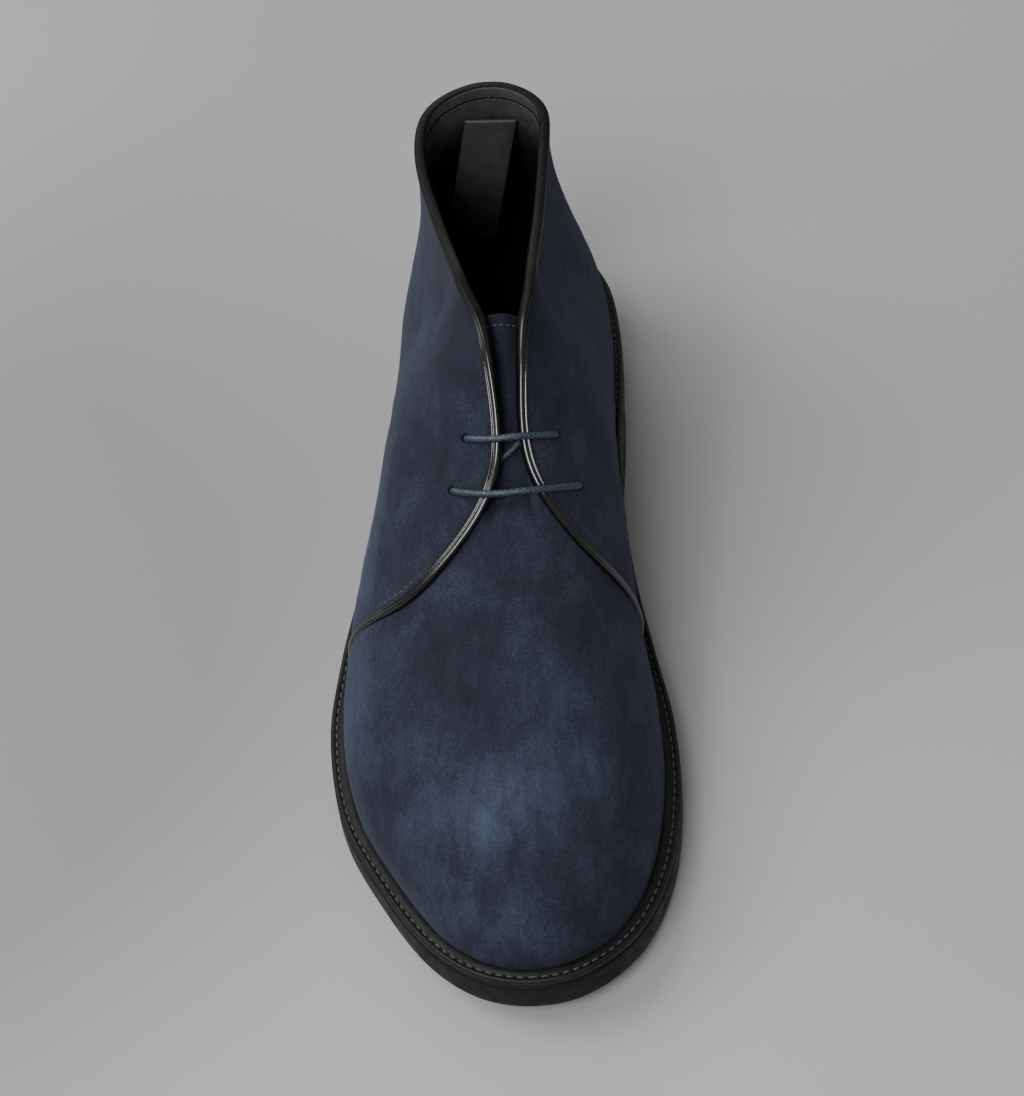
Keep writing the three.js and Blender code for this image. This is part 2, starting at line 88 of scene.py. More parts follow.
# The collar's ring from station SHAFT on: lateral x, medial x, y, z.
COLLAR = np.array([
    (5, 5, 24, 121), (-4.8, 11.4, 39.2, 123.1), (-9.9, 13, 54.9, 120.8), (-15.7, 14.9, 74.5, 121.4),
    (-21, 16.4, 96.9, 124.6), (-18, 16, 115, 128.6), (0, 0, 123.2, 130.5),
])
# The quarter's front edge, welt to collar: medial station, height, lateral station, height.
FRONT_EDGE = np.array([
    (6, 0, 5.85, 0), (6, 0.2, 5.78, 0.2), (5.96, 0.38, 5.64, 0.38), (5.92, 0.53, 5.5, 0.52),
    (6, 0.65, 5.52, 0.63), (6.19, 0.77, 5.82, 0.75), (6.48, 0.88, 6.25, 0.88),
    (6.8, 0.935, 6.65, 0.94), (7.15, 0.945, 7.1, 0.95), (7.6, 0.915, 7.6, 0.922),
    (8, 0.89, 8, 0.898), (8.45, 0.9, 8.45, 0.903), (8.9, 0.95, 8.9, 0.947), (9.4, 1, 9.4, 1),
])
# Lace holes: station and height on each side, how many stations forward the crossing bows, and the
# thickness that it passes over.
HOLES = [
    {"medial": (6.73, 0.63), "lateral": (6.6, 0.75), "bow": 0.25, "over": QUARTER_PROUD},
    {"medial": (7.15, 0.73), "lateral": (7.09, 0.8), "bow": 0.13, "over": QUARTER_WALL},
]
SIDES = ("lateral", "medial")

HOLE_RADIUS = 1.45
THROAT_ROW = 7.6  # of FRONT_EDGE, whose heights rise as far as this
VAMP_TAB = 6.98  # station that the vamp's middle reaches, under the throat
TONGUE_FROM, TONGUE_WALL = 6.5, 1.9
# Soft ridges, and troughs of negative depth: two ends, width, depth.
QUARTER_FOLDS = [
    (((-41, 2, 60), (-46, -34, 34)), 9, 0.9),
    (((-30, 22, 88), (-40, 4, 62)), 8, 0.7),
    (((-24, -2, 80), (-34, -22, 54)), 9, -0.7),
    (((30, 26, 90), (42, 10, 52)), 9, 0.7),
]
VAMP_FOLDS = [
    (((-26, -64, 54), (-6, -58, 66)), 6, -0.35),
    (((34, -62, 52), (16, -52, 66)), 6, -0.35),
    (((-30, -48, 52), (-8, -44, 68)), 7, -0.3),
    (((-18, -100, 46), (26, -98, 48)), 10, 0.35),
]
# Lighter places of the suede, brushed nap on the toe and painted light on the lit outer side: centre,
# radius, amount.
BRUSHED_AND_LIT = [
    ((0, -110, 46), (28, 22, 30), 0.23),
    ((22, -98, 50), (24, 22, 22), 0.13),
    ((-22, -96, 44), (16, 40, 24), 0.08),
    ((6, -136, 36), (46, 24, 26), 0.05),
    ((-44, -60, 34), (16, 60, 26), 0.1),
    ((-42, 6, 46), (14, 56, 36), 0.13),
    ((-45, -14, 52), (8, 44, 30), 0.1),
    ((44, -90, 30), (12, 50, 30), 0.06),
]
# The binding's section: distance in from the edge, and height above the quarter's outer skin. Two
# small rolls lie side by side. The inner part's heights go in from the lining's skin.
BINDING_OUT = [
    (2.6, -0.25), (2.55, 0.2), (2.3, 0.52), (1.95, 0.66), (1.62, 0.5), (1.42, 0.18),
    (1.2, 0.48), (0.8, 0.74), (0.3, 0.7), (-0.1, 0.45), (-0.4, 0.05),
]
BINDING_IN = [(-0.55, 0.4), (-0.2, -0.25), (0.5, 0.5), (3.2, 0.5), (4.2, 0.3), (4.3, -0.2)]

# ---- the last --------------------------------------------------------------------------------


def lerp(a, b, f):
    return a + (b - a) * f


def smooth(low, high, x):
    f = np.clip((np.asarray(x, float) - low) / (high - low), 0, 1)
    return f * f * (3 - 2 * f)


def spline(rows, x, before, after):
    """Catmull-Rom through rows at 0, 1, 2..., with a row before the first and after the last."""
    padded = np.vstack([before, rows, after]).astype(float)
    x = np.asarray(x, float)
    i = np.clip(np.floor(x).astype(int), 0, len(padded) - 4)
    f = (x - i)[..., None]
    a, b, c, d = (padded[i + k] for k in range(4))
    return 0.5 * (
        2 * b + (c - a) * f + (2 * a - 5 * b + 4 * c - d) * f**2 + (3 * b - 3 * c + d - a) * f**3
    )


def extended(rows, x):
    return spline(rows, x, 2 * rows[0] - rows[1], 2 * rows[-1] - rows[-2])


def outline(side, s):
    here, there = (OUTLINE[:, 0:2], OUTLINE[:, 2:4])
    if side == "lateral":
        here, there = there, here
    return spline(here, s, there[1], there[-2])


def outward(side, s):
    """Unit vectors in plan, square to the outline."""
    s = np.asarray(s, float)
    along = outline(side, np.minimum(s + 0.02, LAST_STATION)) - outline(side, np.maximum(s - 0.02, 0))
    turn = 1 if side == "medial" else -1
    normal = np.stack([turn * along[..., 1], -turn * along[..., 0]], -1)
    normal /= np.linalg.norm(normal, axis=-1, keepdims=True)
    normal = np.where((s <= 0)[..., None], [0, -1], normal)
    return np.where((s >= LAST_STATION)[..., None], [0, 1], normal)


def inset(side, s, distance):
    """The outline moved inwards by a distance."""
    return outline(side, s) - outward(side, s) * np.asarray(distance)[..., None]


def welt_shows(s):
    return lerp(WELT_TOE, WELT_HEEL, smooth(5, 9, s))


def sole_bottom(y):
    toe = np.maximum(0, (TREAD_FRONT - y) / (TREAD_FRONT - OUTLINE[0, 1]))
    return TOE_SPRING * toe**1.8 + HEEL_HEIGHT * smooth(TREAD_BACK, HEEL_BREAST, y)


def sole_top(y):
    return sole_bottom(y) + OUTSOLE


def section(column, s):
    k = SECTION_COLUMNS.index(column)
    return spline(SECTION, s, SECTION[1], SECTION[-2])[..., k]


def top_point(side, s):
    here, there = COLLAR[:, [0, 2, 3]], COLLAR[:, [1, 2, 3]]
    if side == "medial":
        here, there = there, here
    ring = spline(here, np.maximum(s - SHAFT, 0), RIDGE[SHAFT - 1], there[-2])
    ridge = extended(RIDGE, np.minimum(s, SHAFT))
    return np.where((s <= SHAFT)[..., None], ridge, ring)


def last(side, s, t):
    """The last's point at station s (0 toe to 14 heel) and height t (0 feather to 1 top)."""
    s, t = np.broadcast_arrays(np.asarray(s, float), np.asarray(t, float))
    plan = inset(side, s, welt_shows(s) + VAMP_WALL)
    foot = np.concatenate([plan, (sole_top(plan[..., 1]) + GAP)[..., None]], -1)
    top = top_point(side, s)
    height = top[..., 2] - foot[..., 2]
    low = foot.copy()
    low[..., :2] += outward(side, s) * section(side, s)[..., None]
    low[..., 2] += height * section("rise", s)
    back = foot - top
    back[..., 2] = (foot[..., 1] - top[..., 1]) * section("slope", s)
    high = top + back * section("across_" + side, s)[..., None]
    high[..., 2] -= height * section("drop", s)
    t = t[..., None]
    return (1 - t) ** 3 * foot + 3 * (1 - t) ** 2 * t * low + 3 * (1 - t) * t * t * high + t**3 * top


def last_normal(side, s, t):
    step = 1e-3
    s, t = np.broadcast_arrays(np.asarray(s, float), np.asarray(t, float))
    along = last(side, np.minimum(s + step, 14), t) - last(side, np.maximum(s - step, 0), t)
    up = last(side, s, np.minimum(t + step, 1)) - last(side, s, np.maximum(t - step, 0))
    normal = np.cross(along, up)
    normal /= np.linalg.norm(normal, axis=-1, keepdims=True)
    return normal if side == "medial" else -normal


def off_last(side, s, t, offset):
    return last(side, s, t) + last_normal(side, s, t) * np.asarray(offset)[..., None]


def front_edge(side, v):
    """Station and height of the quarter's front edge, from the welt (v 0) to the collar (v 1)."""
    k = 0 if side == "medial" else 2
    return extended(FRONT_EDGE[:, k:k + 2], np.asarray(v) * (len(FRONT_EDGE) - 1))


# The CAD's own origin is the middle of its box, so these lengths are shifted to it.
sole_low, sole_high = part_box("outsole")
rim = np.vstack([outline(side, np.linspace(0, LAST_STATION, 61)) for side in SIDES])
SHIFT = np.zeros(3)
SHIFT[:2] = 500 * np.array(sole_low + sole_high)[:2] - (rim.min(0) + rim.max(0)) / 2

# ---- meshes ----------------------------------------------------------------------------------


def piece(name, points, faces, materials, stands_for=(), face_material=None):
    """A smooth mesh object from lengths in millimetres, which may stand for CAD nodes."""
    mesh = bpy.data.meshes.new(name)
    points = (np.asarray(points, float).reshape(-1, 3) + SHIFT) * 0.001
    mesh.from_pydata(points.tolist(), [], [list(map(int, face)) for face in faces])
    mesh.polygons.foreach_set("use_smooth", [True] * len(mesh.polygons))
    for material in materials:
        mesh.materials.append(material)
    if face_material is not None:
        mesh.polygons.foreach_set("material_index", np.asarray(face_material, np.int32))
    mesh.update()
    made = bpy.data.objects.new(name, mesh)
    bpy.context.scene.collection.objects.link(made)
    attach(made, "root")
    if stands_for:
        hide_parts(*stands_for)
    return made


def weld(grids, flips):
    """One surface of quads from grids of points that share edges. Also the row of each grid point."""
    points = np.concatenate([grid.reshape(-1, 3) for grid in grids])
    _, first, index = np.unique(np.round(points, 3), axis=0, return_index=True, return_inverse=True)
    index = index.reshape(-1)
    faces, maps, start = [], [], 0
    for grid, flip in zip(grids, flips):
        rows, cols = grid.shape[:2]
        ids = index[start:start + rows * cols].reshape(rows, cols)
        start += rows * cols
        quads = np.stack([ids[:-1, :-1], ids[1:, :-1], ids[1:, 1:], ids[:-1, 1:]], -1).reshape(-1, 4)
        faces.append(quads[:, ::-1] if flip else quads)
        maps.append(ids)
    return points[first], np.concatenate(faces), maps


def vertex_normals(points, faces):
    a, b, c, d = (points[faces[:, k]] for k in range(4))
    normal = np.cross(c - a, d - b)
    total = np.zeros_like(points)
    for k in range(4):
        np.add.at(total, faces[:, k], normal)
    return unit(total)


def relax(points, faces, share, times):
    """Moves each point towards the mean of its neighbours, by its own share."""
    pairs = np.concatenate([faces[:, [k, (k + 1) % 4]] for k in range(4)])
    pairs = pairs[pairs[:, 0] != pairs[:, 1]]
    pairs = np.unique(np.concatenate([pairs, pairs[:, ::-1]]), axis=0)
    count = np.maximum(np.bincount(pairs[:, 0], minlength=len(points)), 1)
    for _ in range(times):
        mean = np.stack([
            np.bincount(pairs[:, 0], weights=points[pairs[:, 1], axis], minlength=len(points))
            for axis in range(3)
        ], -1) / count[:, None]
        points = points + (mean - points) * share[:, None]
    return points


def spread(values, times):
    """Evens out rows of vectors along a path, with the first and last row held."""
    for _ in range(times):
        inner = (values[:-2] + 2 * values[1:-1] + values[2:]) / 4
        values = np.vstack([values[:1], inner, values[-1:]])
    return values


def unit(values):
    return values / np.maximum(np.linalg.norm(values, axis=1, keepdims=True), 1e-9)


def clean(face):
    """A face without repeated corners, or None where fewer than three are left."""
    kept = [v for k, v in enumerate(face) if v != face[k - 1]]
    return kept if len(kept) > 2 else None


def shell(points, faces, normals, outer, inner):
    """A closed sheet between two offsets, with the kind of each face: 0 outside, 1 inside, 2 rim."""
    n = len(points)
    skins = np.vstack([points + normals * outer[:, None], points + normals * inner[:, None]])
    directed = np.concatenate([faces[:, [k, (k + 1) % 4]] for k in range(4)])
    directed = directed[directed[:, 0] != directed[:, 1]]
    key = directed[:, 0] * n + directed[:, 1]
    back = directed[:, 1] * n + directed[:, 0]
    border = directed[~np.isin(key, back)]
    rims = np.stack([border[:, 1], border[:, 0], border[:, 0] + n, border[:, 1] + n], -1)
    groups = [faces, faces[:, ::-1] + n, rims]
    made, kinds = [], []
    for kind, group in enumerate(groups):
        for face in group:
            face = clean(list(face))
            if face:
                made.append(face)
                kinds.append(kind)
    return skins, made, kinds


def loft(loops, closed=True, ends=False):
    """Faces over rings of points, each ring closed; ends fills the first and last ring."""
    rings, count = len(loops), len(loops[0])
    faces = []
    for r in range(rings if closed else rings - 1):
        low, high = r * count, ((r + 1) % rings) * count
        for k in range(count):
            j = (k + 1) % count
            faces.append((low + k, low + j, high + j, high + k))
    if ends:
        faces.append(tuple(range(count - 1, -1, -1)))
        faces.append(tuple((rings - 1) * count + k for k in range(count)))
    return np.concatenate(loops), faces


def frames(path, up):
    """Unit tangent, side and up at each point of a path."""
    tangent = unit(np.gradient(path, axis=0))
    side = unit(np.cross(tangent, up))
    return tangent, side, np.cross(side, tangent)


def rows_at(rows, values):
    """Values between the rows of a table, at fractional row numbers."""
    numbers = np.arange(len(values))
    return np.stack([np.interp(rows, numbers, values[:, k]) for k in range(3)], -1)


def resample(path, step):
    """Points evenly spaced along a path, and the fractional row of each."""
    length = np.concatenate([[0], np.cumsum(np.linalg.norm(np.diff(path, axis=0), axis=1))])
    count = max(2, int(round(length[-1] / step)) + 1)
    at = np.linspace(0, length[-1], count)
    rows = np.interp(at, length, np.arange(len(path)))
    return rows_at(rows, path), rows


def stitches(name, path, normals, material, slot, pitch, long, thick, lift):
    """A row of thread stitches that lie on a path, sunk at their ends."""
    spots, rows = resample(path, pitch)
    tangent, side, up = frames(spots, unit(rows_at(rows, normals)))
    points, faces = [], []
    around, lengthwise = 8, 7
    angle = np.linspace(0, 2 * np.pi, around, endpoint=False)[:, None]
    for k in range(len(spots)):
        rings = []
        for q in range(lengthwise):
            f = 2 * q / (lengthwise - 1) - 1
            radius = thick / 2 * math.sqrt(max(0.08, 1 - abs(f) ** 3))
            middle = spots[k] + tangent[k] * f * long / 2 + up[k] * (lift - 0.35 * thick * f * f)
            rings.append(middle + radius * (np.cos(angle) * side[k] + np.sin(angle) * up[k]))
        made, quads = loft(rings, closed=False, ends=True)
        start = len(points) * lengthwise * around
        points.append(made)
        faces += [tuple(v + start for v in face) for face in quads]
    return piece(name, np.concatenate(points), faces, [material])


# ---- materials -------------------------------------------------------------------------------


class Nodes:
    """A material's node tree, with short names for the nodes that these materials use."""

    def __init__(self, name, **shader):
        self.material = bpy.data.materials.new(name)
        self.material.use_nodes = True
        self.tree = self.material.node_tree
        self.shader = self.tree.nodes["Principled BSDF"]
        for socket, value in shader.items():
            self.shader.inputs[socket.replace("_", " ")].default_value = value
        self.place = self.tree.nodes.new("ShaderNodeTexCoord").outputs["Object"]
        self.place = self.mapped(scale=(1000, 1000, 1000))  # metres to millimetres

    def link(self, source, target):
        self.tree.links.new(source, target)
        return target

    def put(self, node, value, k):
        if hasattr(value, "is_output"):
            self.link(value, node.inputs[k])
        else:
            node.inputs[k].default_value = value

    def mapped(self, scale, turn=(0, 0, 0)):
        node = self.tree.nodes.new("ShaderNodeMapping")
        self.link(self.place, node.inputs["Vector"])
        node.inputs["Scale"].default_value = scale
        node.inputs["Rotation"].default_value = turn
        return node.outputs[0]

    def noise(self, size, detail=3, rough=0.5, stretch=(1, 1, 1), turn=(0, 0, 0), warp=0):
        node = self.tree.nodes.new("ShaderNodeTexNoise")
        self.link(self.mapped(stretch, turn), node.inputs["Vector"])
        node.inputs["Scale"].default_value = 1 / size
        node.inputs["Detail"].default_value = detail
        node.inputs["Roughness"].default_value = rough
        node.inputs["Distortion"].default_value = warp
        return node.outputs["Fac"]

    def cells(self, size):
        node = self.tree.nodes.new("ShaderNodeTexVoronoi")
        self.link(self.place, node.inputs["Vector"])
        node.inputs["Scale"].default_value = 1 / size
        return node.outputs["Distance"]

    def math(self, operation, a, b):
        node = self.tree.nodes.new("ShaderNodeMath")
        node.operation = operation
        self.put(node, a, 0)
        self.put(node, b, 1)
        return node.outputs[0]

    def remap(self, value, low, high, to_low, to_high):
        node = self.tree.nodes.new("ShaderNodeMapRange")
        node.interpolation_type = "SMOOTHSTEP"
        self.link(value, node.inputs[0])
        for k, x in enumerate((low, high, to_low, to_high)):
            node.inputs[k + 1].default_value = x
        return node.outputs[0]

    def patch(self, centre, radius):
        """1 at a point in millimetres, fading to 0 at radius (x, y, z) from it."""
        moved = self.tree.nodes.new("ShaderNodeVectorMath")
        moved.operation = "SUBTRACT"
        self.link(self.place, moved.inputs[0])
        moved.inputs[1].default_value = [centre[k] + SHIFT[k] for k in range(3)]
        scaled = self.tree.nodes.new("ShaderNodeVectorMath")
        scaled.operation = "DIVIDE"
        self.link(moved.outputs[0], scaled.inputs[0])
        scaled.inputs[1].default_value = radius
        length = self.tree.nodes.new("ShaderNodeVectorMath")
        length.operation = "LENGTH"
        self.link(scaled.outputs[0], length.inputs[0])
        return self.remap(length.outputs["Value"], 0.0, 1.0, 1.0, 0.0)

    def mix(self, first, *rest):
        """A sum of values, each of the rest given with its weight."""
        total = first
        for value, weight in rest:
            total = self.math("ADD", total, self.math("MULTIPLY", value, weight))
        return total

    def along(self, axis, low, high, to_low, to_high):
        node = self.tree.nodes.new("ShaderNodeSeparateXYZ")
        self.link(self.place, node.inputs[0])
        return self.remap(node.outputs[axis], low, high, to_low, to_high)

    def along_y(self, *limits):
        return self.along(1, *limits)

    def along_z(self, *limits):
        return self.along(2, *limits)

    def colours(self, value, *stops):
        node = self.tree.nodes.new("ShaderNodeValToRGB")
        self.link(value, node.inputs[0])
        ramp = node.color_ramp
        while len(ramp.elements) < len(stops):
            ramp.elements.new(0.5)
        for element, (at, colour) in zip(ramp.elements, stops):
            element.position = at
            element.color = (*colour, 1)
        self.link(node.outputs[0], self.shader.inputs["Base Color"])

    def bump(self, height, depth, strength):
        """Height in 0..1 raises the surface by depth millimetres."""
        node = self.tree.nodes.new("ShaderNodeBump")
        node.inputs["Strength"].default_value = strength
        node.inputs["Distance"].default_value = depth * 0.001
        self.link(height, node.inputs["Height"])
        self.link(node.outputs[0], self.shader.inputs["Normal"])

    def tint(self, value):
        """A grey that scales the reflection."""
        self.link(value, self.shader.inputs["Specular Tint"])

    def rough(self, value):
        self.link(value, self.shader.inputs["Roughness"])


def suede():
    """Brushed navy suede, lighter in patches of brushed nap and of painted light, and darker high on
    the shaft.
    """
    n = Nodes("suede", Roughness=0.95, Specular_IOR_Level=0.12, Sheen_Weight=0.13,
              Sheen_Roughness=0.4, Sheen_Tint=(0.5, 0.57, 0.78, 1))
    blotch = n.noise(30, detail=5, rough=0.6, warp=0.6)
    streak = n.noise(7, detail=4, rough=0.65, stretch=(1.7, 0.5, 1), warp=0.8)
    fleck = n.noise(0.9, detail=3, rough=0.75)
    nap = n.noise(0.42, detail=2, rough=0.75)
    tone = n.mix(n.math("MULTIPLY", blotch, 0.4), (streak, 0.2), (fleck, 0.36), (nap, 0.1))
    streaky = n.remap(streak, 0.25, 0.75, 0.75, 1.2)
    # painted light: the patches on the outer side lighten it where the lamp falls; the toe's are
    # brushed nap
    for centre, radius, amount in BRUSHED_AND_LIT:
        tone = n.mix(tone, (n.math("MULTIPLY", n.patch(centre, radius), amount), streaky))
    high_up = n.math("MULTIPLY", n.along_z(76, 120, 0.0, 0.12), n.along_y(-10, 40, 0.0, 1.0))
    tone = n.math("SUBTRACT", tone, high_up)
    n.colours(tone, (0.34, (0.0115, 0.0118, 0.0175)), (0.52, (0.0205, 0.0228, 0.0365)),
              (0.72, (0.044, 0.053, 0.087)), (0.95, (0.076, 0.094, 0.152)))
    n.bump(n.mix(n.math("MULTIPLY", nap, 0.6), (fleck, 0.9)), 0.22, 0.8)
    return n.material


def welt_leather():
    n = Nodes("welt_leather", Specular_IOR_Level=0.3)
    n.colours(n.noise(7, detail=4), (0.3, (0.005, 0.005, 0.005)), (0.7, (0.01, 0.01, 0.01)))
    n.rough(n.remap(n.noise(3.5, detail=5), 0.3, 0.7, 0.48, 0.65))
    n.bump(n.mix(n.cells(0.7), (n.noise(0.35), 0.4)), 0.06, 0.7)
    return n.material


def polished():
    """Black binding, glossy where it is rubbed along the lacing and dull round the collar."""
    n = Nodes("binding_leather", Specular_IOR_Level=1.0)
    n.colours(n.noise(5, detail=4), (0.3, (0.003, 0.003, 0.0035)), (0.7, (0.007, 0.007, 0.0075)))
    n.rough(n.mix(n.along_y(14, 44, 0.1, 0.45), (n.noise(2.5, detail=4), 0.06)))
    n.tint(n.along_y(16, 34, 0.7, 0.12))
    n.bump(n.noise(2.5, detail=2), 0.02, 0.3)
    return n.material


def lining():
    """Smooth black leather, lighter round the collar and painted darker further down, as painted shade
    deep inside the boot.
    """
    n = Nodes("lining_leather", Roughness=0.5, Specular_IOR_Level=0.4)
    # painted shade: the lining darkens with depth below the collar's rim
    tone = n.mix(n.along_z(98, 124, 0.0, 0.5), (n.noise(4, detail=5, rough=0.6), 0.5))
    n.colours(tone, (0.2, (0.009, 0.008, 0.014)), (0.55, (0.028, 0.028, 0.029)),
              (0.9, (0.075, 0.075, 0.076)))
    n.bump(n.mix(n.cells(1.0), (n.noise(0.35), 0.4)), 0.07, 0.8)
    return n.material


def tab():
    """Black strap leather, painted lighter at its top and darker further down, as painted shade inside
    the boot.
    """
    n = Nodes("tab_leather", Roughness=0.5, Specular_IOR_Level=0.4)
    # painted shade: the strap darkens with depth below the collar's rim
    painted_depth_shade = n.mix(n.along_z(66, 104, 0.0, 0.6), (n.noise(5, detail=5, rough=0.6), 0.4))
    n.colours(painted_depth_shade, (0.2, (0.004, 0.004, 0.005)), (0.6, (0.02, 0.021, 0.023)),
              (0.9, (0.055, 0.056, 0.061)))
    n.bump(n.mix(n.cells(1.1), (n.noise(0.35), 0.4)), 0.06, 0.7)
    return n.material


def rubber():
    n = Nodes("sole_rubber", Specular_IOR_Level=0.17)
    n.colours(n.noise(14, detail=5), (0.3, (0.005, 0.005, 0.0053)), (0.75, (0.0105, 0.0105, 0.011)))
    n.rough(n.remap(n.noise(5, detail=6, rough=0.65), 0.3, 0.75, 0.45, 0.7))
    n.bump(n.mix(n.noise(0.6, detail=4), (n.noise(6), 0.5)), 0.05, 0.6)
    return n.material


def thread(name, colour):
    n = Nodes(name, Roughness=0.6, Specular_IOR_Level=0.4)
    n.colours(n.noise(1.4), (0.3, tuple(c * 0.7 for c in colour)), (0.7, colour))
    n.bump(n.noise(0.25, stretch=(1, 2.5, 1), turn=(0.5, 0.5, 0.6)), 0.08, 0.8)
    return n.material


def cord():
    n = Nodes("lace_cord", Specular_IOR_Level=0.5)
    n.colours(n.noise(0.7), (0.32, (0.007, 0.013, 0.021)), (0.68, (0.04, 0.062, 0.085)))
    n.rough(n.remap(n.noise(2.2), 0.3, 0.7, 0.34, 0.55))
    n.bump(n.noise(0.22, detail=2), 0.06, 0.7)
    return n.material


def paper():
    """Grey backdrop paper, with painted shade beside the boot's outer side."""
    n = Nodes("backdrop", Roughness=0.9, Specular_IOR_Level=0.1)
    # painted shade: a dark patch on the backdrop beside the boot's outer side
    shade = n.mix(n.noise(600, detail=2), (n.patch((-190, -10, 0), (230, 330, 90)), -0.6))
    n.colours(shade, (0.1, (0.29, 0.29, 0.29)), (0.5, (0.42, 0.42, 0.42)), (0.8, (0.46, 0.46, 0.46)))
    return n.material


SUEDE = suede()
BINDING = polished()
LINING = lining()
TAB = tab()
WELT_LEATHER = welt_leather()
RUBBER = rubber()
THREAD = thread("dark_thread", (0.012, 0.013, 0.018))
SEAM_THREAD = thread("seam_thread", (0.09, 0.1, 0.125))
WELT_THREAD = thread("welt_thread", (0.06, 0.06, 0.062))
CORD = cord()

# ---- upper -----------------------------------------------------------------------------------

QUARTER_U = (np.arange(121) / 120) ** 1.2  # closer together at the front edge
QUARTER_V = np.arange(105) / 104
VAMP_ROWS, VAMP_COLS = 150, 76


def bumps(points, size, depth):
    """Gentle unevenness of soft leather, a height for each point."""
    return np.array([noise.noise(Vector(p / size)) for p in points]) * depth


def folds(points, table):
    """The heights of a table's ridges and troughs, each along a line between two points."""
    total = np.zeros(len(points))
    for ends, width, depth in table:
        a, b = (np.array(end, float) for end in ends)
        f = np.clip((points - a) @ (b - a) / ((b - a) @ (b - a)), 0, 1)
        away = np.linalg.norm(points - a - f[:, None] * (b - a), axis=1)
        fade = np.sin(np.pi * np.clip(f, 0.02, 0.98)) ** 0.6
        total += depth * fade * np.exp(-(away / width) ** 2)
    return total


def quarter_base():
    """Both quarters on the last: points, quads, each side's grid and the skins' offsets."""
    u, v = QUARTER_U, QUARTER_V
    grids, outer, inner = [], [], []
    for side in SIDES:
        edge = front_edge(side, v)[None]
        s = lerp(edge[..., 0], LAST_STATION, u[:, None])
        t = lerp(edge[..., 1], v[None], 1 - (1 - u[:, None]) ** 3)
        grids.append(last(side, s, t))
        # 1 where the front edge lies over the vamp, 0 beside the throat.
        laps = (1 - smooth(6.3, 6.8, edge[..., 0])) * np.ones_like(s)
        front = lerp(QUARTER_WALL, QUARTER_PROUD, laps)
        proud = lerp(front, QUARTER_WALL, smooth(0.02, 0.3, u)[:, None])
        outer.append(lerp(VAMP_WALL, proud, smooth(0.022, 0.055, v)[None]))
        inner.append(laps * lerp(VAMP_WALL - 0.6, 0, smooth(0, 0.12, u)[:, None]))
    points, faces, maps = weld(grids, [True, False])
    offsets = np.zeros((len(points), 2))
    for ids, out, inn in zip(maps, outer, inner):
        offsets[ids, 0] = out
        offsets[ids, 1] = inn
    free = np.ones(len(points)) * 0.5
    for ids in maps:
        for edge in (ids[0], ids[:, 0], ids[:, -1]):
            free[edge] = 0
    # The whole free edge is one smooth line, which the rows behind it follow.
    lateral, medial = maps
    rim = np.concatenate([lateral[0], lateral[1:, -1], medial[::-1, -1][1:], medial[0, ::-1][1:]])
    moved = np.zeros_like(points)
    moved[rim] = spread(points[rim], 50) - points[rim]
    near_front = np.exp(-9 * u)[:, None, None]
    near_top = np.exp(-9 * (1 - v))[None, :, None]
    for ids in (lateral, medial):
        front, top = moved[ids[0]][None], moved[ids[:, -1]][:, None]
        corner = moved[ids[0, -1]]
        points[ids] += front * near_front + top * near_top - corner * near_front * near_top
    return relax(points, faces, free, 70), faces, maps, offsets


def lined(name, skins, node):
    """A piece of suede outside and lining inside, from what shell returns."""
    points, faces, kinds = skins
    inside = [1 if kind == 1 else 0 for kind in kinds]
    return piece(name, points, faces, [SUEDE, LINING], [node], inside)


base, quads, maps, offsets = quarter_base()
normals = vertex_normals(base, quads)
shape = offsets[:, 0] + bumps(base, 17, 0.35) + bumps(base, 6, 0.1) + folds(base, QUARTER_FOLDS)
holes = [
    (last(side, *row[side]), last_normal(side, *row[side])) for row in HOLES for side in SIDES
]
for middle, _ in holes:
    # The laces pull each hole in a little.
    away = np.linalg.norm(base - middle, axis=1)
    shape -= 0.5 * np.exp(-(away / 2.6) ** 2)
quarters = lined("quarters", shell(base, quads, normals, shape, offsets[:, 1]), "upper")
outside = base + normals * shape[:, None]
inside = base + normals * offsets[:, 1:]
quarter_tree = BVHTree.FromPolygons(outside.tolist(), quads.tolist())
inside_tree = BVHTree.FromPolygons(inside.tolist(), quads[:, ::-1].tolist())


def punch(target, holes, radius):
    """Cuts round holes square through a sheet."""
    points, faces, start = [], [], 0
    for middle, normal in holes:
        across = np.cross(normal, [0.3, 0.2, 1.0])
        across /= np.linalg.norm(across)
        other = np.cross(normal, across)
        angle = np.linspace(0, 2 * np.pi, 20, endpoint=False)[:, None]
        circle = radius * (np.cos(angle) * across + np.sin(angle) * other)
        made, quads = loft([middle - normal * 6 + circle, middle + normal * 6 + circle], False, True)
        points.append(made)
        faces += [tuple(k + start for k in face) for face in quads]
        start += len(made)
    mesh = bpy.data.meshes.new("punches")
    mesh.from_pydata(((np.concatenate(points) + SHIFT) * 0.001).tolist(), [], faces)
    cutter = bpy.data.objects.new("punches", mesh)
    bpy.context.scene.collection.objects.link(cutter)
    cut = target.modifiers.new("holes", "BOOLEAN")
    cut.operation = "DIFFERENCE"
    cut.solver = "EXACT"
    cut.object = cutter
    bpy.context.view_layer.update()
    graph = bpy.context.evaluated_depsgraph_get()
    target_mesh = bpy.data.meshes.new_from_object(target.evaluated_get(graph))
    target.modifiers.clear()
    target.data = target_mesh
    bpy.data.objects.remove(cutter)


punch(quarters, holes, HOLE_RADIUS)


